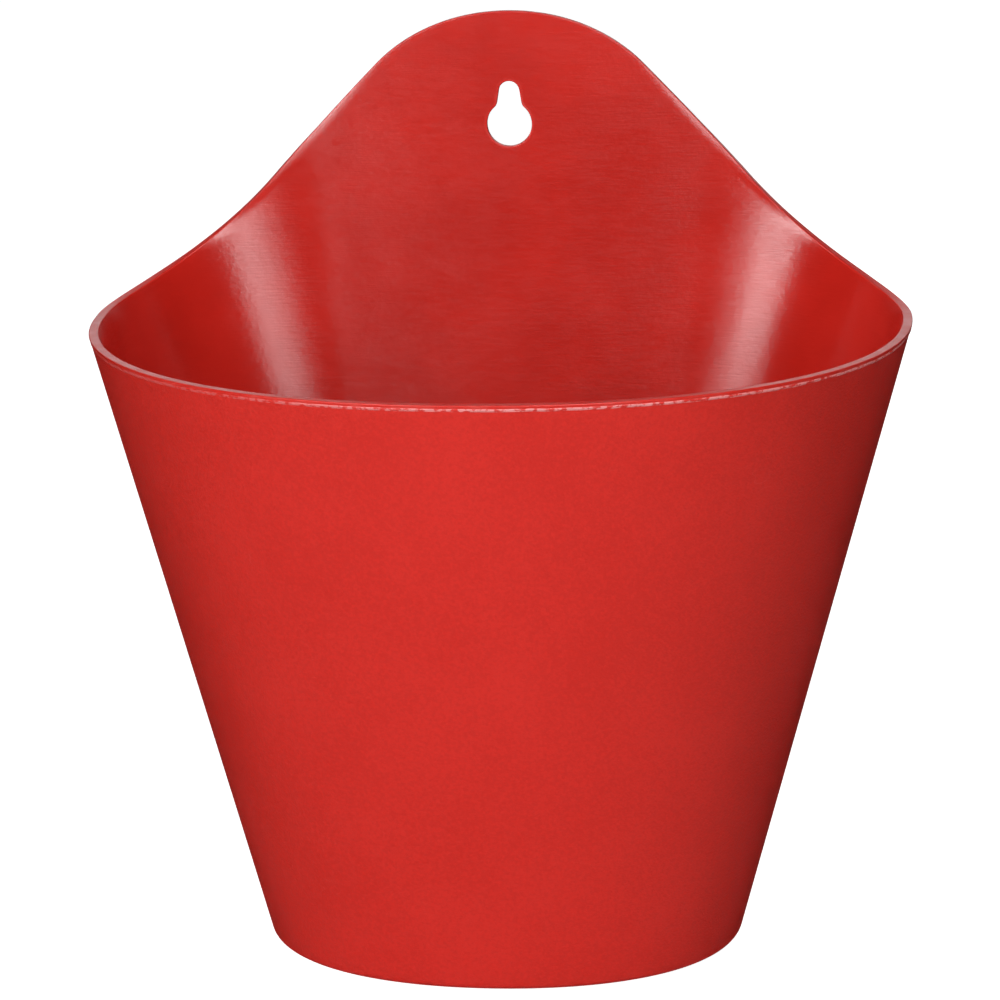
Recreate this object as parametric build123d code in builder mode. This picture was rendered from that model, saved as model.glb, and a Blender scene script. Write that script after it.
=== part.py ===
from build123d import *
from math import cos, hypot, pi, radians, sin, sqrt, tan
import os

os.makedirs("parts", exist_ok=True)

# Wall pot with a flat back, a level rim round the front and a raised back.
# X runs along the wall, -Y points away from it, Z is up. Millimetres.
# It is drawn with the back face at Y 0 and then moved so that the origin is at
# the middle of its box, on the base plane.

# Heights
FRONT_H = 170.0            # level rim round the front and sides
BACK_H = 246.4             # top of the raised back
FLOOR_T = 3.0
WALL = 2.6

# Plan outline at the base and at the level rim: (base, rim)
HALF_W = (65.0, 110.0)     # half width at the widest line
DEPTH = (106.0, 151.5)     # back face to the front of the bowl
WIDEST_Y = (56.5, 44.5)    # widest line, measured out from the back face
FLAT_HALF = (35.5, 50.0)   # half width of the flat part of the back
CORNER_FULL = 0.552        # back corners: elliptical
FRONT_FULL = 0.604         # front: a slightly squared ellipse

# Rim of the raised back, unrolled along the wall from its middle
CROWN_R = 46.0             # round top
FLANK_ANGLE = 46.6         # straight flanks
SHOULDER_R = 100.0         # hollow sweep down into the level rim
FLAT_STATIONS = 12
CORNER_STATIONS = 18
CUT_OUT = 30.0             # reach of the rim cut outside and inside the wall
CUT_IN = 14.0
CUT_TOP = 120.0

# Keyhole in the raised back
KEY_Z = 215.0
KEY_R = 6.25
NECK_HALF = 3.55           # half width where the slot meets the round entry
SLOT_R = 2.9
SLOT_TOP = 227.0

# Underside
FOOT_W = 7.0               # width of the standing ring
FOOT_RECESS = 0.8
BASE_EDGE = 2.0
EDGE_STEPS = 4
GATE_R = 2.5
GATE_H = 0.5

TALL = BACK_H + 10.0


def at_height(pair, z):
    """Outline dimension at a height, along the straight side lines."""
    return pair[0] + (pair[1] - pair[0]) * z / FRONT_H


def quarter(start, corner, end, fullness):
    """Quarter of an oval from start to end, bulging towards the corner of its box."""
    first = tuple(p + (q - p) * fullness for p, q in zip(start, corner))
    second = tuple(p + (q - p) * fullness for p, q in zip(end, corner))
    return Bezier(start, first, second, end)


def outline(z, inset=0.0):
    """Edges of the D outline at a height, moved in from the outer face by inset."""
    half_w = at_height(HALF_W, z) - inset
    front = inset - at_height(DEPTH, z)
    widest = -at_height(WIDEST_Y, z)
    flat = at_height(FLAT_HALF, z)
    back = -inset
    with BuildLine(Plane.XY.offset(z)):
        return [
            Line((-flat, back), (flat, back)),
            quarter((flat, back), (half_w, back), (half_w, widest), CORNER_FULL),
            quarter((half_w, widest), (half_w, front), (0, front), FRONT_FULL),
            quarter((0, front), (-half_w, front), (-half_w, widest), FRONT_FULL),
            quarter((-half_w, widest), (-half_w, back), (-flat, back), CORNER_FULL),
        ]


def tapered_body(levels):
    """Solid through D outlines, given as (height, inset), matched edge by edge."""
    rings = [outline(z, inset) for z, inset in levels]
    faces = [Face(Wire(rings[0])), Face(Wire(rings[-1]))]
    for low, high in zip(rings, rings[1:]):
        low_line, high_line = low[0], high[0]
        faces.append(Face(Wire.make_polygon([low_line @ 0, low_line @ 1,
                                             high_line @ 1, high_line @ 0])))
        for low_edge, high_edge in zip(low[1:], high[1:]):
            faces.append(Face.make_surface_from_curves(low_edge, high_edge))
    return Solid(Shell(faces))


def base_round():
    """Heights and insets of the rounded bottom edge."""
    steps = []
    for i in range(EDGE_STEPS + 1):
        turn = pi / 2 * i / EDGE_STEPS
        steps.append((BASE_EDGE * (1 - cos(turn)), BASE_EDGE * (1 - sin(turn))))
    return steps


def rim_height(s):
    """Rim height, by distance along the level outline from the middle of the back."""
    lean = radians(FLANK_ANGLE)
    crown_end = CROWN_R * sin(lean)
    crown_low = BACK_H - CROWN_R * (1 - cos(lean))
    shoulder_high = FRONT_H + SHOULDER_R * (1 - cos(lean))
    flank_end = crown_end + (crown_low - shoulder_high) / tan(lean)
    shoulder_end = flank_end + SHOULDER_R * sin(lean)
    if s < crown_end:
        return BACK_H - CROWN_R + sqrt(CROWN_R**2 - s**2)
    if s < flank_end:
        return crown_low - (s - crown_end) * tan(lean)
    if s < shoulder_end:
        return FRONT_H + SHOULDER_R - sqrt(SHOULDER_R**2 - (shoulder_end - s) ** 2)
    return FRONT_H


def corner_point(z, turn):
    """Plan position on a back corner, turned from the flat back to the widest line."""
    flat = at_height(FLAT_HALF, z)
    x = flat + (at_height(HALF_W, z) - flat) * sin(turn)
    return x, at_height(WIDEST_Y, z) * (cos(turn) - 1)


def rim_stations():
    """Half of the rim line: plan position, outward direction and height."""
    stations = []
    for i in range(FLAT_STATIONS):
        share = i / FLAT_STATIONS
        z = rim_height(FLAT_HALF[1] * share)
        stations.append((at_height(FLAT_HALF, z) * share, 0.0, 0.0, 1.0, z))
    s = FLAT_HALF[1]
    last = corner_point(FRONT_H, 0)
    for i in range(CORNER_STATIONS):
        turn = pi / 2 * i / CORNER_STATIONS
        level = corner_point(FRONT_H, turn)
        s += hypot(level[0] - last[0], level[1] - last[1])
        last = level
        z = rim_height(s)
        x, y = corner_point(z, turn)
        stations.append((x, y, sin(turn), cos(turn), z))
    stations.append((HALF_W[1], -WIDEST_Y[1], 1.0, 0.0, FRONT_H))
    return stations


def rim_line(reach):
    """Rim line moved out (or in, if negative) along the level wall normal."""
    right = [(x + nx * reach, y + ny * reach, z) for x, y, nx, ny, z in rim_stations()]
    left = [(-x, y, z) for x, y, z in right[:0:-1]]
    points = left + right
    return Edge.make_spline(points, parameters=[float(i) for i in range(len(points))])


outer_body = tapered_body(base_round() + [(TALL, 0.0)])
inner_body = tapered_body([(FLOOR_T, WALL), (TALL + WALL, WALL)])
rim_face = Face.make_surface_from_curves(rim_line(CUT_OUT), rim_line(-CUT_IN))

with BuildPart() as pot_shell:
    # Wall and floor, drawn tall so that the rim can be cut from them
    add(outer_body)
    add(inner_body, mode=Mode.SUBTRACT)

    # Level rim in front of the widest line, swept rim behind it
    with Locations((0, -WIDEST_Y[1], FRONT_H)):
        Box(4 * HALF_W[1], 2 * DEPTH[1], CUT_TOP,
            align=(Align.CENTER, Align.MAX, Align.MIN), mode=Mode.SUBTRACT)
    extrude(rim_face, amount=CUT_TOP, dir=(0, 0, 1), mode=Mode.SUBTRACT)

    # Keyhole: round entry with a tapering slot above it
    with BuildSketch(Plane.XZ) as keyhole:
        with Locations((0, KEY_Z)):
            Circle(KEY_R)
        slot_z = SLOT_TOP - SLOT_R
        neck_z = KEY_Z + sqrt(KEY_R**2 - NECK_HALF**2)
        with BuildLine():
            Polyline((-NECK_HALF, KEY_Z), (-NECK_HALF, neck_z), (-SLOT_R, slot_z),
                     (SLOT_R, slot_z), (NECK_HALF, neck_z), (NECK_HALF, KEY_Z), close=True)
        make_face()
        with Locations((0, slot_z)):
            Circle(SLOT_R)
    extrude(amount=2 * WALL, both=True, mode=Mode.SUBTRACT)

    # Underside: standing ring round a shallow recess, with the gate mark
    with BuildSketch(Plane.XY):
        make_face(outline(0, FOOT_W))
    extrude(amount=FOOT_RECESS, mode=Mode.SUBTRACT)
    with BuildSketch(Plane.XY.offset(FOOT_RECESS)):
        with Locations((0, -DEPTH[0] / 2)):
            Circle(GATE_R)
    extrude(amount=-GATE_H)

pot_shell.part.move(Location((0, DEPTH[1] / 2, 0)))
pot_shell.part.label = "pot_shell"
export_step(pot_shell.part, "parts/pot_shell.step")
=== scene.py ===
import math

import bmesh
import bpy
import numpy as np
from mathutils import Matrix, Vector, noise
from mathutils.geometry import delaunay_2d_cdt


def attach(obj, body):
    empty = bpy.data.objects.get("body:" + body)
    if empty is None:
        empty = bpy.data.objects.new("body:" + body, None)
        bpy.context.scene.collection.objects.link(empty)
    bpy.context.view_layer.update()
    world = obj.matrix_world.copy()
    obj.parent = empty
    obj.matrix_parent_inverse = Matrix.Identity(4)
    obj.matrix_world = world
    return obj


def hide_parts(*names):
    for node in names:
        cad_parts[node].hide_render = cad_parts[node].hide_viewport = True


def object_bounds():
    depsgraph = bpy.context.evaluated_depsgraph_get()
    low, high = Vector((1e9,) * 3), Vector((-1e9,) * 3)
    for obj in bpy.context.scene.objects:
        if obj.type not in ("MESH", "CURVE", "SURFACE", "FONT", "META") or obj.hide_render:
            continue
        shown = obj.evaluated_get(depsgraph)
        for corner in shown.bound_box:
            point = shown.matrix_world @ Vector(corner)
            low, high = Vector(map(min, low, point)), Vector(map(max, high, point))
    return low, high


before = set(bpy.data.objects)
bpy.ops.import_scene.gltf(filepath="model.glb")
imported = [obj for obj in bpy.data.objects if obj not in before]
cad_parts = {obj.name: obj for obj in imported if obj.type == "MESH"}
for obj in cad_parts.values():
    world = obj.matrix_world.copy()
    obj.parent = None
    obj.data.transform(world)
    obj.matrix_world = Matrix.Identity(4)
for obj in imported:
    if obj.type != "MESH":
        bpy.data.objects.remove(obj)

cad_low, cad_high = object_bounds()
scene = bpy.context.scene

# ---------------------------------------------------------------- dimensions, millimetres
# The rings are made with y = 0 on the flat back, falling towards the front, and z = 0 at the base.
BACK_Y = cad_high.y * 1000          # the flat back in the frame
FRONT_H, BACK_H = 170.0, cad_high.z * 1000
FLOOR_T, WALL = 3.0, 2.6

# outline, at the base and at the front rim; the last two say how far the curve handles reach
HALF_W, DEPTH = (65.0, 110.0), (106.0, 151.5)
WIDEST_Y, FLAT_HALF = (56.5, 44.5), (35.5, 50.0)
CORNER_FULL, FRONT_FULL = 0.552, 0.604

# raised back: crown, straight flank, shoulder
CROWN_R, FLANK_ANGLE, SHOULDER_R = 46.0, math.radians(46.6), 100.0

# keyhole, and the rounding of its edge
KEY_Z, KEY_R, NECK_HALF, SLOT_R, SLOT_TOP = 215.0, 6.25, 3.55, 2.9, 227.0
KEY_EDGE, KEY_APRON = 0.28, 0.35
KEY_MARGIN = 2.5                    # least distance from the keyhole to the plain grid of the wall

# underside: standing ring, recess, rounded base edge, gate mark
FOOT_W, FOOT_RECESS, BASE_EDGE = 7.0, 0.8, 2.0
FOOT_EDGE_IN, FOOT_RISE, FOOT_EDGE_OUT = 0.5, 0.4, 0.3
GATE_R, GATE_H, GATE_Y = 2.5, 0.5, -53.0

# moulding line below the rim: a torn bead of flash
BEAD_LOW, BEAD_CLEAR = 1.25, 0.7    # its middle below the rim, and plain wall ends this much lower
BEAD_MEAN, BEAD_SWING, BEAD_MIN, BEAD_MAX = 0.19, 0.22, 0.03, 0.3
BEAD_SWAY = 0.12                    # how far it wanders up and down
BEAD_PROFILE = (                    # height below its middle, share of its depth
    (0.45, 0.0), (0.28, 0.4), (0.14, 0.9), (0.0, 1.0), (-0.14, 0.9), (-0.24, 0.3), (-0.34, 0.0))
BEAD_TOP = 0.5                      # plain wall starts again this far above its middle

# rim and inside
EDGE_OUT, EDGE_IN = 0.30, 0.35      # rounding of the two rim edges
LAND_DIP = 0.03                     # unevenness of the level land between them
BEVEL_H, BEVEL_D = 3.0, 0.20        # soft roll inside the flanks of the raised back
SWAY_IN = 0.05                      # unevenness of the inner wall
FILLET = 3.0                        # round where the inner wall meets the floor

# steps along the flat back, each back corner and each front half, and up the two walls
N_FLAT, N_CORNER, N_FRONT = 56, 90, 170
N_OUTER, N_INNER = 26, 44


# ---------------------------------------------------------------- outline and rim
def lerp(pair, z):
    return pair[0] + (pair[1] - pair[0]) * z / FRONT_H


def bezier(p0, corner, p3, full, t):
    """Point of a curve from p0 to p3 whose handles reach the share full of the way to the corner."""
    p1 = p0 + (corner - p0) * full
    p2 = p3 + (corner - p3) * full
    u = 1 - t
    return u**3 * p0 + 3 * u * u * t * p1 + 3 * u * t * t * p2 + t**3 * p3


def station_list():
    """(part, t) round the outline, from the left end of the flat back, seen from above."""
    out = [("flat", -1 + 2 * i / N_FLAT) for i in range(N_FLAT)]
    out += [("right", i / N_CORNER) for i in range(N_CORNER)]
    out += [("front_right", i / N_FRONT) for i in range(N_FRONT)]
    out += [("front_left", i / N_FRONT) for i in range(N_FRONT)]
    out += [("left", i / N_CORNER) for i in range(N_CORNER)]
    return out


STATIONS = station_list()
N = len(STATIONS)


def plan(part, t, z, inset=0.0):
    """Point of the outline at height z, moved inwards by inset."""
    half_w = lerp(HALF_W, z) - inset
    front = inset - lerp(DEPTH, z)
    widest = -lerp(WIDEST_Y, z)
    flat = lerp(FLAT_HALF, z)
    back = -inset
    if part == "flat":
        return np.array((flat * t, back))
    point = np.array
    if part == "right":
        return bezier(point((flat, back)), point((half_w, back)), point((half_w, widest)), CORNER_FULL, t)
    if part == "front_right":
        return bezier(point((half_w, widest)), point((half_w, front)), point((0.0, front)), FRONT_FULL, t)
    if part == "front_left":
        return bezier(point((0.0, front)), point((-half_w, front)), point((-half_w, widest)), FRONT_FULL, t)
    return bezier(point((-half_w, widest)), point((-half_w, back)), point((-flat, back)), CORNER_FULL, t)


def rim_height(s):
    """Height of the rim at the distance s from the middle of the back, along the outline."""
    crown_end = CROWN_R * math.sin(FLANK_ANGLE)
    crown_low = BACK_H - CROWN_R * (1 - math.cos(FLANK_ANGLE))
    shoulder_high = FRONT_H + SHOULDER_R * (1 - math.cos(FLANK_ANGLE))
    flank_end = crown_end + (crown_low - shoulder_high) / math.tan(FLANK_ANGLE)
    shoulder_end = flank_end + SHOULDER_R * math.sin(FLANK_ANGLE)
    if s < crown_end:
        return BACK_H - CROWN_R + math.sqrt(CROWN_R**2 - s**2)
    if s < flank_end:
        return crown_low - (s - crown_end) * math.tan(FLANK_ANGLE)
    if s < shoulder_end:
        return FRONT_H + SHOULDER_R - math.sqrt(SHOULDER_R**2 - (shoulder_end - s) ** 2)
    return FRONT_H


def corner_lengths():
    """Distance along the level outline from the end of the flat, for each corner step."""
    points = [plan("right", i / N_CORNER, FRONT_H) for i in range(N_CORNER + 1)]
    steps = [0.0] + [float(np.linalg.norm(b - a)) for a, b in zip(points, points[1:])]
    return np.cumsum(steps)


CORNER_S = corner_lengths()


def station_rim(part, t):
    """Height of the rim at a station."""
    if part == "flat":
        return rim_height(abs(t) * FLAT_HALF[1])
    if part in ("right", "left"):
        along = t if part == "right" else 1 - t
        return rim_height(FLAT_HALF[1] + float(np.interp(along, np.linspace(0, 1, N_CORNER + 1), CORNER_S)))
    return FRONT_H


RIM = np.array([station_rim(p, t) for p, t in STATIONS])


# ---------------------------------------------------------------- loops of points
def ring(heights, insets):
    """One loop on the wall; heights and insets are numbers or one value per station."""
    heights = np.broadcast_to(heights, N)
    insets = np.broadcast_to(insets, N)
    out = np.empty((N, 3))
    for i, (part, t) in enumerate(STATIONS):
        x, y = plan(part, t, heights[i], insets[i])
        out[i] = (x, y, heights[i])
    return out


def at_height(loop, z):
    """The same outline at another height: a number or one value per station."""
    return np.column_stack([loop[:, :2], np.broadcast_to(z, N)])


CENTRE = np.array((0.0, GATE_Y))
STATION_ANGLE = np.array([math.atan2(*(plan(p, t, 0, FOOT_W) - CENTRE)[::-1]) for p, t in STATIONS])


def round_loop(radius, z):
    xy = CENTRE + radius * np.column_stack([np.cos(STATION_ANGLE), np.sin(STATION_ANGLE)])
    return np.column_stack([xy, np.full(N, z)])


def inner_loop(share, z, inset, height, round_share=0.0, radius=0.0):
    """Loop on a flat bottom: the outline at that height, drawn in towards the middle and rounded."""
    base = ring(height, inset)[:, :2]
    xy = CENTRE + (base - CENTRE) * share
    circle = round_loop(radius, z)[:, :2]
    return np.column_stack([xy * (1 - round_share) + circle * round_share, np.full(N, z)])


def smooth_noise(points, scale, seed):
    shift = Vector((seed, seed * 1.7, -seed))
    return np.array([noise.noise(Vector((*(np.asarray(p) / scale),)) + shift) for p in points])


def ease(x):
    """Smooth step from 0 to 1."""
    x = np.clip(x, 0, 1)
    return x * x * (3 - 2 * x)


def quarter(steps, first=0):
    """Sine and cosine at even steps of a quarter turn, for a rounded edge."""
    turns = [math.pi / 2 * k / steps for k in range(first, steps + 1)]
    return [(math.sin(turn), math.cos(turn)) for turn in turns]


# ---------------------------------------------------------------- the rings of the shell
rings = []


def add(points):
    rings.append(np.asarray(points, float))


def last():
    return len(rings) - 1


def add_underside():
    """Gate mark, recess, standing ring and the rounded base edge, from the middle outwards."""
    gate_floor = FOOT_RECESS - GATE_H
    gate_profile = (
        (GATE_R - 1.3, gate_floor), (GATE_R - 0.25, gate_floor),
        (GATE_R - 0.06, gate_floor + 0.08), (GATE_R, gate_floor + 0.25),
        (GATE_R + 0.05, FOOT_RECESS - 0.08), (GATE_R + 0.25, FOOT_RECESS), (GATE_R + 1.0, FOOT_RECESS))
    for radius, z in gate_profile:
        add(round_loop(radius, z))
    add(inner_loop(0.2, FOOT_RECESS, FOOT_W, 0, round_share=0.5, radius=10))
    for share in (0.35, 0.5, 0.65, 0.8, 0.92):
        add(inner_loop(share, FOOT_RECESS, FOOT_W, 0))
    for sine, cosine in quarter(4):
        add(at_height(ring(0, FOOT_W + FOOT_EDGE_IN - FOOT_EDGE_IN * sine),
                      FOOT_RECESS - FOOT_RISE + FOOT_RISE * cosine))
    for sine, cosine in quarter(3, 1):
        add(at_height(ring(0, FOOT_W - FOOT_EDGE_OUT + FOOT_EDGE_OUT * cosine),
                      FOOT_EDGE_OUT - FOOT_EDGE_OUT * sine))
    add(ring(0, FOOT_W - 1.0))
    add(ring(0, BASE_EDGE + 1.0))
    for sine, cosine in quarter(8):
        add(ring(BASE_EDGE * (1 - cosine), BASE_EDGE * (1 - sine)))


def add_outer_wall():
    wall_top = RIM - BEAD_LOW - BEAD_CLEAR
    for k in range(1, N_OUTER + 1):
        add(ring(BASE_EDGE + (wall_top - BASE_EDGE) * k / N_OUTER, 0.0))


def bead_depth(line):
    """Depth of the flash at each station: torn, stronger to the right, absent on the flat back."""
    front_share = []
    for part, t in STATIONS:
        if part == "flat":
            front_share.append(0.0)
        elif part in ("right", "left"):
            front_share.append(ease((t if part == "right" else 1 - t) / 0.8 - 0.1))
        else:
            front_share.append(1.0)
    right_share = 0.35 + 0.65 * ease((line[:, 0] + 75) / 90)
    wobble = smooth_noise(line, 2.2, 3.1) * 0.6 + smooth_noise(line, 0.9, 8.4) * 0.5
    return np.array(front_share) * right_share * np.clip(BEAD_MEAN + BEAD_SWING * wobble, BEAD_MIN, BEAD_MAX)


def add_flash(line):
    bead = bead_depth(line)
    sway = BEAD_SWAY * smooth_noise(line, 3.0, 5.5)
    for down, share in BEAD_PROFILE:
        add(ring(RIM - BEAD_LOW - down + sway, -bead * share))


def add_rim(line, bevel):
    """Outer rounding, level land and inner rounding."""
    dip = LAND_DIP * smooth_noise(line, 9.0, 1.3)
    for sine, cosine in quarter(4):
        add(at_height(ring(RIM, EDGE_OUT * (1 - cosine)), RIM - EDGE_OUT * (1 - sine) + dip - LAND_DIP))
    land_in = WALL - bevel - EDGE_IN
    for share in (0.3, 0.7):
        add(at_height(ring(RIM, EDGE_OUT + (land_in - EDGE_OUT) * share), RIM + dip - LAND_DIP))
    for sine, cosine in quarter(5):
        add(at_height(ring(RIM, land_in + EDGE_IN * sine), RIM - EDGE_IN * (1 - cosine) + dip - LAND_DIP))


def add_soft_roll(bevel):
    for share in (0.2, 0.4, 0.6, 0.8, 1.0):
        add(ring(RIM - EDGE_IN - BEVEL_H * share, WALL - bevel * (1 - share) ** 2))


def add_inner_wall():
    top = RIM - EDGE_IN - BEVEL_H
    for k in range(1, N_INNER + 1):
        level_ring = ring(top + (FLOOR_T + FILLET - top) * k / N_INNER, WALL)
        inwards = ring(level_ring[:, 2], WALL + 1.0) - level_ring
        depth = SWAY_IN * smooth_noise(level_ring, 14.0, 2.7) * ease(k / 3)
        add(level_ring + inwards * depth[:, None])


def add_inner_floor():
    for sine, cosine in quarter(6, 1):
        add(ring(FLOOR_T + FILLET * (1 - sine), WALL + FILLET * (1 - cosine)))
    for share in (0.95, 0.8, 0.6, 0.4, 0.2, 0.05):
        add(inner_loop(share, FLOOR_T, WALL + FILLET, FLOOR_T))


rim_line = ring(RIM, 0.0)
# the soft roll is on the flanks only: it fades out above the level rim and towards the crown
roll = BEVEL_D * ease((RIM - FRONT_H - 6) / 14) * (1 - 0.8 * ease((RIM - 218) / 16))

add_underside()
outer_first = last() + 1
add_outer_wall()
outer_last = last()
flash_first = last() + 1
add_flash(rim_line)
flash_last = last()
add(ring(RIM - BEAD_LOW + BEAD_TOP, 0.0))
add_rim(rim_line, roll)
rim_last = last()
add_soft_roll(roll)
inner_first = last() + 1
add_inner_wall()
inner_last = last()
add_inner_floor()

grid = np.array(rings)                       # ring, station, xyz
R = len(grid)


# ---------------------------------------------------------------- keyhole outline
def keyhole_outline():
    """Closed outline with softened corners, and its outward normals, in x and z."""
    neck_z = KEY_Z + math.sqrt(KEY_R**2 - NECK_HALF**2)
    start = math.atan2(neck_z - KEY_Z, NECK_HALF)
    slot_z = SLOT_TOP - SLOT_R
    sweep = 2 * math.pi - (math.pi - 2 * start)
    round_steps, side_steps, slot_steps, softenings = 110, 14, 30, 6
    points = []
    for i in range(round_steps):
        angle = start - sweep * i / round_steps
        points.append((KEY_R * math.cos(angle), KEY_Z + KEY_R * math.sin(angle)))
    for i in range(side_steps):
        f = i / side_steps
        points.append((-NECK_HALF + (NECK_HALF - SLOT_R) * f, neck_z + (slot_z - neck_z) * f))
    for i in range(slot_steps):
        angle = math.pi - math.pi * i / slot_steps
        points.append((SLOT_R * math.cos(angle), slot_z + SLOT_R * math.sin(angle)))
    for i in range(side_steps):
        f = i / side_steps
        points.append((SLOT_R + (NECK_HALF - SLOT_R) * f, slot_z + (neck_z - slot_z) * f))
    outline = np.array(points)
    for _ in range(softenings):
        outline = outline * 0.5 + (np.roll(outline, 1, 0) + np.roll(outline, -1, 0)) * 0.25
    tangent = np.roll(outline, -1, 0) - np.roll(outline, 1, 0)
    normals = np.column_stack([-tangent[:, 1], tangent[:, 0]])
    normals /= np.linalg.norm(normals, axis=1)[:, None]
    if ((outline - (0, KEY_Z)) * normals).sum() < 0:
        normals = -normals
    return outline, normals


KEY, KEY_NORMALS = keyhole_outline()


def key_edge_rows():
    """(distance out from the keyhole, y) of the loops through the wall, from the back to the inside."""
    rows = [(KEY_EDGE + KEY_APRON, 0.0)]
    rows += [(KEY_EDGE * (1 - math.sin(turn)), -KEY_EDGE * (1 - math.cos(turn)))
             for turn in np.linspace(0, math.pi / 2, 6)]
    rows += [(0.0, -WALL / 2)]
    rows += [(KEY_EDGE * (1 - math.cos(turn)), -WALL + KEY_EDGE * (1 - math.sin(turn)))
             for turn in np.linspace(0, math.pi / 2, 6)]
    rows += [(KEY_EDGE + KEY_APRON, -WALL)]
    return rows


# ---------------------------------------------------------------- mesh
KEY_LIP = -1                        # zone of the rounded edge of the keyhole; the others are ring numbers
OUTSIDE, INSIDE, RIM_EDGE, FLASH = range(4)


def window(first, end):
    """Rings and stations that bound the grid cells left out round the keyhole, on one side of the wall."""
    z = grid[:, N_FLAT // 2, 2]
    below = [i for i in range(first, end + 1) if z[i] < KEY_Z - KEY_R - KEY_MARGIN]
    above = [i for i in range(first, end + 1) if z[i] > SLOT_TOP + KEY_MARGIN]
    low, high = sorted((max(below, key=lambda i: z[i]), min(above, key=lambda i: z[i])))
    x = grid[low, :N_FLAT, 0]
    left = max(i for i in range(N_FLAT) if x[i] < -KEY_R - KEY_MARGIN)
    right = min(i for i in range(N_FLAT) if x[i] > KEY_R + KEY_MARGIN)
    return low, high, left, right


def inside_polygon(p, polygon):
    x, y = polygon[:, 0], polygon[:, 1]
    x2, y2 = np.roll(x, -1), np.roll(y, -1)
    crosses = (y > p[1]) != (y2 > p[1])
    with np.errstate(divide="ignore", invalid="ignore"):
        at = (x2 - x) * (p[1] - y) / (y2 - y) + x
    return bool((crosses & (p[0] < at)).sum() % 2)


def build_shell():
    """Points and faces of the closed shell, and the zone of each face."""
    verts = [tuple(p) for r in grid for p in r]
    faces, zone = [], []
    windows = {"out": window(outer_first, outer_last), "in": window(inner_first, inner_last)}

    def cut(r, i):
        return any(a <= r < b and c <= i < d for a, b, c, d in windows.values())

    for r in range(R - 1):
        for i in range(N):
            if cut(r, i):
                continue
            j = (i + 1) % N
            faces.append((r * N + i, r * N + j, (r + 1) * N + j, (r + 1) * N + i))
            zone.append(r)
    faces.append(tuple(range(N))[::-1])
    zone.append(0)
    faces.append(tuple((R - 1) * N + i for i in range(N)))
    zone.append(R - 1)

    def hole_loop(offset, y):
        first = len(verts)
        for (x, z), (nx, nz) in zip(KEY, KEY_NORMALS):
            verts.append((x + nx * offset, y, z + nz * offset))
        return first

    m = len(KEY)

    def patch(box, loop, toward_back, where):
        """Triangles between the window in the grid and a loop round the keyhole."""
        a, b, c, d = box
        edge = [(a, i) for i in range(c, d)] + [(r, d) for r in range(a, b)]
        edge += [(b, i) for i in range(d, c, -1)] + [(r, c) for r in range(b, a, -1)]
        outer = [r * N + i for r, i in edge]
        index = outer + [loop + i for i in range(m)]
        flat = [Vector((verts[i][0], verts[i][2])) for i in index]
        k = len(outer)
        edges = [(i, (i + 1) % k) for i in range(k)] + [(k + i, k + (i + 1) % m) for i in range(m)]
        points, _, tris, origins, _, _ = delaunay_2d_cdt(flat, edges, [], 1, 1e-6)
        hole = np.array([flat[k + i] for i in range(m)])
        for tri in tris:
            mid = sum((points[i] for i in tri), Vector((0, 0))) / 3
            if inside_polygon(mid, hole):
                continue
            ids = [index[origins[i][0]] for i in tri]
            p = [verts[i] for i in ids]
            turn = (p[1][0] - p[0][0]) * (p[2][2] - p[0][2]) - (p[1][2] - p[0][2]) * (p[2][0] - p[0][0])
            if (turn < 0) != toward_back:
                ids = ids[::-1]
            faces.append(tuple(ids))
            zone.append(where)

    loops = [hole_loop(offset, y) for offset, y in key_edge_rows()]
    for a, b in zip(loops, loops[1:]):
        for i in range(m):
            j = (i + 1) % m
            faces.append((a + i, b + i, b + j, a + j))
            zone.append(KEY_LIP)
    patch(windows["out"], loops[0], True, outer_first)
    patch(windows["in"], loops[-1], False, inner_first)
    return verts, faces, zone


def slot_of(where):
    """Material of a face, from its zone."""
    if where == KEY_LIP:
        return RIM_EDGE
    if where < flash_first:
        return OUTSIDE
    if where < flash_last:
        return FLASH
    return RIM_EDGE if where < rim_last else INSIDE


def make_pot():
    """The pot's mesh object, with the flat back put in its place in the frame."""
    verts, faces, zone = build_shell()
    mesh = bpy.data.meshes.new("wall_pot")
    places = np.array(verts) / 1000 + (0, BACK_Y / 1000, 0)
    mesh.from_pydata(np.clip(places, cad_low, cad_high), [], faces)
    bm = bmesh.new()
    bm.from_mesh(mesh)
    loose = [v for v in bm.verts if not v.link_faces]
    bmesh.ops.delete(bm, geom=loose, context="VERTS")
    bmesh.ops.recalc_face_normals(bm, faces=bm.faces)
    print("open edges", sum(1 for e in bm.edges if len(e.link_faces) != 2), "faces", len(bm.faces))
    for face, where in zip(bm.faces, zone):
        face.smooth = True
        face.material_index = slot_of(where)
    bm.to_mesh(mesh)
    bm.free()
    pot = bpy.data.objects.new("wall_pot", mesh)
    scene.collection.objects.link(pot)
    return pot


wall_pot = make_pot()
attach(wall_pot, "root")
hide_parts("pot_shell")


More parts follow.
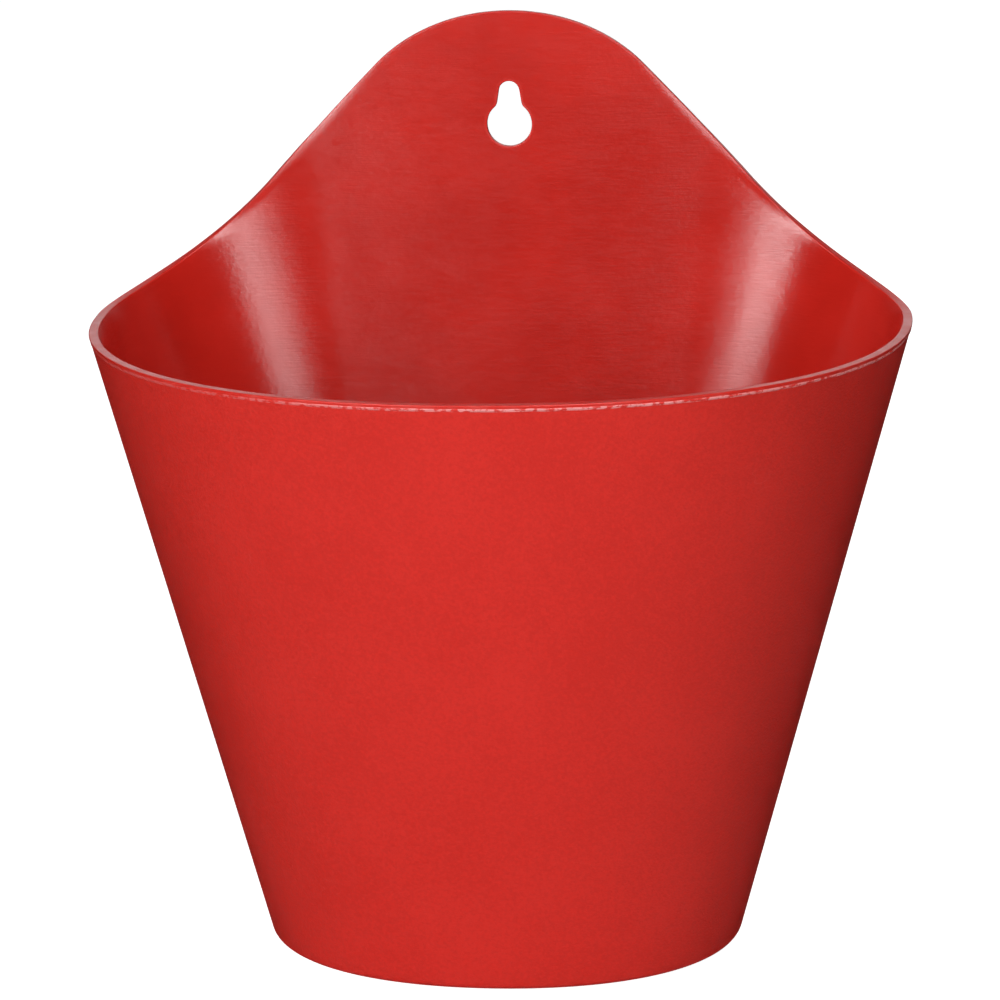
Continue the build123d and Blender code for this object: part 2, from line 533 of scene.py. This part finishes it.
# ---------------------------------------------------------------- materials
class Nodes:
    """Short calls for building one material's node tree."""

    def __init__(self, name):
        self.material = bpy.data.materials.new(name)
        self.material.use_nodes = True
        self.tree = self.material.node_tree
        self.shader = self.tree.nodes["Principled BSDF"]
        self.place = self.add("ShaderNodeTexCoord").outputs["Object"]

    def add(self, kind, **settings):
        n = self.tree.nodes.new(kind)
        for key, value in settings.items():
            setattr(n, key, value)
        return n

    def feed(self, value, socket):
        if isinstance(value, bpy.types.NodeSocket):
            self.tree.links.new(value, socket)
        else:
            socket.default_value = value

    def along_x(self):
        n = self.add("ShaderNodeSeparateXYZ")
        self.feed(self.place, n.inputs[0])
        return n.outputs["X"]

    def stretch(self, scale, rotation=(0, 0, 0)):
        """Object coordinates turned and scaled, to lengthen a pattern along one direction."""
        n = self.add("ShaderNodeMapping")
        self.feed(self.place, n.inputs["Vector"])
        n.inputs["Scale"].default_value = scale
        n.inputs["Rotation"].default_value = rotation
        return n.outputs["Vector"]

    def noise(self, size, detail=2.0, place=None, w=0.0):
        """Noise from 0 to 1 whose features are about size metres; w sets the pattern."""
        n = self.add("ShaderNodeTexNoise", noise_dimensions="4D")
        self.feed(self.place if place is None else place, n.inputs["Vector"])
        n.inputs["Scale"].default_value = 1 / size
        n.inputs["Detail"].default_value = detail
        n.inputs["W"].default_value = w
        return n.outputs["Fac"]

    def span(self, value, low, high, to_low=0.0, to_high=1.0):
        """Map low..high to to_low..to_high with a smooth, clamped step."""
        n = self.add("ShaderNodeMapRange", interpolation_type="SMOOTHSTEP")
        self.feed(value, n.inputs["Value"])
        for key, v in (("From Min", low), ("From Max", high), ("To Min", to_low), ("To Max", to_high)):
            n.inputs[key].default_value = v
        return n.outputs["Result"]

    def math(self, operation, a, b=0.0):
        n = self.add("ShaderNodeMath", operation=operation)
        self.feed(a, n.inputs[0])
        self.feed(b, n.inputs[1])
        return n.outputs[0]

    def blend(self, a, share_a, b, share_b):
        """Weighted sum of two values."""
        return self.math("ADD", self.math("MULTIPLY", a, share_a), self.math("MULTIPLY", b, share_b))

    def mix(self, share, a, b):
        n = self.add("ShaderNodeMix", data_type="RGBA")
        self.feed(share, n.inputs[0])
        self.feed(a, n.inputs[6])
        self.feed(b, n.inputs[7])
        return n.outputs[2]

    def bump(self, height, distance, strength=1.0, under=None):
        n = self.add("ShaderNodeBump")
        self.feed(height, n.inputs["Height"])
        n.inputs["Distance"].default_value = distance
        n.inputs["Strength"].default_value = strength
        if under is not None:
            self.feed(under, n.inputs["Normal"])
        return n.outputs["Normal"]

    def put(self, name, value):
        """Give a value or a socket to one of the shader's own inputs."""
        self.feed(value, self.shader.inputs[name])


RED_DEEP = (0.565, 0.0170, 0.0105, 1)
RED = (0.630, 0.0205, 0.0130, 1)
RED_SCUFFED = (0.660, 0.060, 0.046, 1)
# pale pink of a painted highlight, used on the moulding-line flash
RED_PAINTED_HIGHLIGHT = (0.760, 0.260, 0.255, 1)
MM = 0.001


def outside_plastic():
    """Moulded red plastic with a fine satin grain and a few hair scratches."""
    m = Nodes("pot_plastic_outside")
    cloud = m.noise(38 * MM, 3.0)
    fleck = m.noise(0.9 * MM, 2.0, w=4.0)
    tone = m.mix(m.span(m.blend(cloud, 0.35, fleck, 0.65), 0.38, 0.62), RED_DEEP, RED)
    # a scratch is a thin contour line of a stretched noise, kept in a few places only
    hair = m.noise(7 * MM, 1.0, m.stretch((0.35, 1, 1.4), (0, 0.6, 0)), w=9.0)
    from_contour = m.math("ABSOLUTE", m.math("SUBTRACT", hair, 0.5))
    line = m.math("SUBTRACT", 1.0, m.span(from_contour, 0.0, 0.006))
    scratch = m.math("MULTIPLY", line, m.span(m.noise(21 * MM, 1.0, w=2.0), 0.64, 0.70))
    m.put("Base Color", m.mix(m.math("MULTIPLY", scratch, 0.5), tone, RED_SCUFFED))
    m.put("Roughness", m.span(m.blend(cloud, 0.5, fleck, 0.5), 0.3, 0.7, 0.40, 0.50))
    m.put("Specular IOR Level", 0.3)
    wavy = m.bump(m.noise(26 * MM, 1.0, w=1.0), 0.15 * MM, 0.3)
    m.put("Normal", m.bump(m.noise(0.6 * MM, 2.0, w=6.0), 0.14 * MM, 0.9, wavy))
    return m.material


def inside_plastic():
    """The same plastic rubbed smoother, with fine brush marks that run round the wall."""
    m = Nodes("pot_plastic_inside")
    cloud = m.noise(30 * MM, 3.0, w=3.0)
    m.put("Base Color", m.mix(m.span(cloud, 0.38, 0.62), RED_DEEP, RED))
    brush = m.noise(0.4 * MM, 2.0, m.stretch((0.08, 0.08, 1)), w=5.0)
    slant = m.noise(0.5 * MM, 2.0, m.stretch((0.14, 0.14, 1), (0, -0.55, 0)), w=7.0)
    rubbed = m.span(m.noise(17 * MM, 2.0, w=8.0), 0.40, 0.62)
    marks = m.blend(brush, 0.6, slant, 0.4)
    rough = m.span(marks, 0.42, 0.58, 0.29, 0.37)
    m.put("Roughness", m.math("ADD", rough, m.math("MULTIPLY", rubbed, 0.04)))
    m.put("IOR", 1.7)
    m.put("Specular IOR Level", 0.88)
    # highlights stretch up and down the wall
    m.put("Anisotropic", 1.0)
    m.put("Anisotropic Rotation", 0.25)
    m.put("Tangent", m.add("ShaderNodeTangent", direction_type="RADIAL", axis="Z").outputs["Tangent"])
    speckle = m.bump(m.noise(1.4 * MM, 2.0, w=6.5), 0.045 * MM, 0.8)
    m.put("Normal", m.bump(marks, 0.085 * MM, 0.9, speckle))
    return m.material


def rim_plastic():
    """Trimmed rim: level land and soft edges, a little glossier and uneven."""
    m = Nodes("pot_plastic_rim")
    patch = m.noise(6 * MM, 3.0, w=1.5)
    m.put("Base Color", m.mix(m.span(patch, 0.45, 0.8), RED, RED_SCUFFED))
    m.put("Roughness", m.span(patch, 0.3, 0.7, 0.28, 0.40))
    m.put("Normal", m.bump(m.noise(1.3 * MM, 2.0, w=2.5), 0.04 * MM, 0.6))
    return m.material


def flash_plastic():
    """Torn flash on the moulding line, with a painted pale highlight along it that grows towards the right.
    """
    m = Nodes("pot_plastic_flash")
    crumb = m.noise(1.4 * MM, 3.0, w=3.5)
    # painted highlight: the flash is mixed towards pale pink in crumbly spots, more and more to the right
    painted_highlight_share = m.math("MULTIPLY", m.span(m.along_x(), -0.075, 0.01, 0.25, 1.0), m.span(crumb, 0.40, 0.54))
    m.put("Base Color", m.mix(painted_highlight_share, RED, RED_PAINTED_HIGHLIGHT))
    m.put("Roughness", m.span(crumb, 0.3, 0.7, 0.35, 0.5))
    m.put("Normal", m.bump(m.noise(0.5 * MM, 2.0, w=4.5), 0.08 * MM, 0.8))
    return m.material


# in the order of OUTSIDE, INSIDE, RIM_EDGE, FLASH
for material in (outside_plastic(), inside_plastic(), rim_plastic(), flash_plastic()):
    wall_pot.data.materials.append(material)

# ---------------------------------------------------------------- stage, metres
WHITE = (0.86, 0.86, 0.86, 1)
ROOM_HALF, ROOM_HIGH, TABLE_HALF = 6.0, 5.0, 1.5
ROOM_LOW, TABLE_LOW, FLOOR_LOW = 0.001, 0.0004, 0.0002      # how far each lies below the pot's base
BACKDROP_HALF, BACKDROP_Y, BACKDROP_BOTTOM, BACKDROP_TOP = 0.8, 1.5, 0.3, 1.3
BACKDROP_GLOW, FLOOR_GLOW, ROOM_GLOW = 0.75, 0.95, 1.0

LIGHT_AIM = (0, 0.02, 0.15)
# name, azimuth and elevation in degrees, distance, width, height in metres, watts
LIGHTS = (
    ("key_left", -31, 12, 1.3, 0.36, 0.55, 5.8),
    ("key_left_high", -24, 38, 1.3, 0.32, 0.55, 4.4),
    ("fill_right", 24, 12, 1.3, 0.30, 0.55, 1.6),
    ("fill_right_high", 19, 38, 1.3, 0.36, 0.55, 7.4),
)


def card(name, corners, glow, seen_by_camera=True, seen_by_pot=True, loops=((0, 1, 2, 3),)):
    """White studio surface with its own glow, lit by the softboxes as well; it casts no shadow."""
    sheet = bpy.data.meshes.new(name)
    sheet.from_pydata(corners, [], loops)
    o = bpy.data.objects.new(name, sheet)
    scene.collection.objects.link(o)
    o.visible_camera = seen_by_camera
    o.visible_diffuse = seen_by_pot
    o.visible_glossy = seen_by_pot
    o.visible_shadow = False
    m = bpy.data.materials.new(name)
    m.use_nodes = True
    b = m.node_tree.nodes["Principled BSDF"]
    b.inputs["Base Color"].default_value = WHITE
    b.inputs["Roughness"].default_value = 0.8
    b.inputs["Specular IOR Level"].default_value = 0.0
    b.inputs["Emission Color"].default_value = (1, 1, 1, 1)
    b.inputs["Emission Strength"].default_value = glow
    sheet.materials.append(m)
    return o


def level(z, half):
    """Corners of a level square."""
    return [(-half, -half, z), (half, -half, z), (half, half, z), (-half, half, z)]


def softbox(name, azimuth, elevation, distance, width, height, power):
    """Rectangular softbox; azimuth 0 is in front of the pot, positive to the right."""
    light = bpy.data.lights.new(name, "AREA")
    light.shape = "RECTANGLE"
    light.size = width
    light.size_y = height
    light.energy = power
    o = bpy.data.objects.new(name, light)
    o.visible_camera = False
    a, e = math.radians(azimuth), math.radians(elevation)
    way = Vector((math.sin(a) * math.cos(e), -math.cos(a) * math.cos(e), math.sin(e)))
    o.location = Vector(LIGHT_AIM) + way * distance
    o.rotation_mode = "QUATERNION"
    o.rotation_quaternion = way.to_track_quat("Z", "Y")
    scene.collection.objects.link(o)


# what the camera sees: a white room and a pale floor that takes the pot's soft shadow
card("floor", level(-FLOOR_LOW, ROOM_HALF), FLOOR_GLOW, seen_by_pot=False)
room_sides = [(i, (i + 1) % 4, (i + 1) % 4 + 4, i + 4) for i in range(4)]
card("room", level(-ROOM_LOW, ROOM_HALF) + level(ROOM_HIGH, ROOM_HALF), ROOM_GLOW, seen_by_pot=False,
     loops=room_sides + [(4, 5, 6, 7)])
# what lights the pot besides the softboxes: the table under it and a white backdrop behind
table = card("table", level(-TABLE_LOW, TABLE_HALF), 0.0, seen_by_camera=False)
table.visible_glossy = False
backdrop_corners = [(-BACKDROP_HALF, BACKDROP_Y, BACKDROP_BOTTOM),
                    (BACKDROP_HALF, BACKDROP_Y, BACKDROP_BOTTOM),
                    (BACKDROP_HALF, BACKDROP_Y, BACKDROP_TOP),
                    (-BACKDROP_HALF, BACKDROP_Y, BACKDROP_TOP)]
card("backdrop", backdrop_corners, BACKDROP_GLOW, seen_by_camera=False)

world = bpy.data.worlds.new("studio")
scene.world = world
world.use_nodes = True
world.node_tree.nodes["Background"].inputs["Color"].default_value = (1, 1, 1, 1)
world.node_tree.nodes["Background"].inputs["Strength"].default_value = 0.0

for spec in LIGHTS:
    softbox(*spec)

# ---------------------------------------------------------------- camera
# fitted to the pot's outline in the photograph: azimuth, elevation and roll in radians, metres
AZ, EL, ROLL = (math.radians(v) for v in (4.307, 14.957, 0.9))
CAM_TARGET = (0.000071, -0.060 + BACK_Y / 1000, 0.122239)
CAM_DISTANCE = 0.9
SENSOR = 36                         # millimetres, as is the lens
LENS = 3.351182 * SENSOR


def make_camera():
    back = Vector((math.sin(AZ) * math.cos(EL), -math.cos(AZ) * math.cos(EL), math.sin(EL)))
    level_right = Vector((math.cos(AZ), math.sin(AZ), 0))
    level_up = back.cross(level_right)
    right = level_right * math.cos(ROLL) - level_up * math.sin(ROLL)
    up = level_right * math.sin(ROLL) + level_up * math.cos(ROLL)
    place = Vector(CAM_TARGET) + back * CAM_DISTANCE
    data = bpy.data.cameras.new("camera")
    data.sensor_width = SENSOR
    data.lens = LENS
    cam = bpy.data.objects.new("camera", data)
    cam.matrix_world = Matrix((
        (right.x, up.x, back.x, place.x),
        (right.y, up.y, back.y, place.y),
        (right.z, up.z, back.z, place.z),
        (0, 0, 0, 1)))
    scene.collection.objects.link(cam)
    return cam


scene.camera = make_camera()
scene.view_settings.view_transform = "Standard"
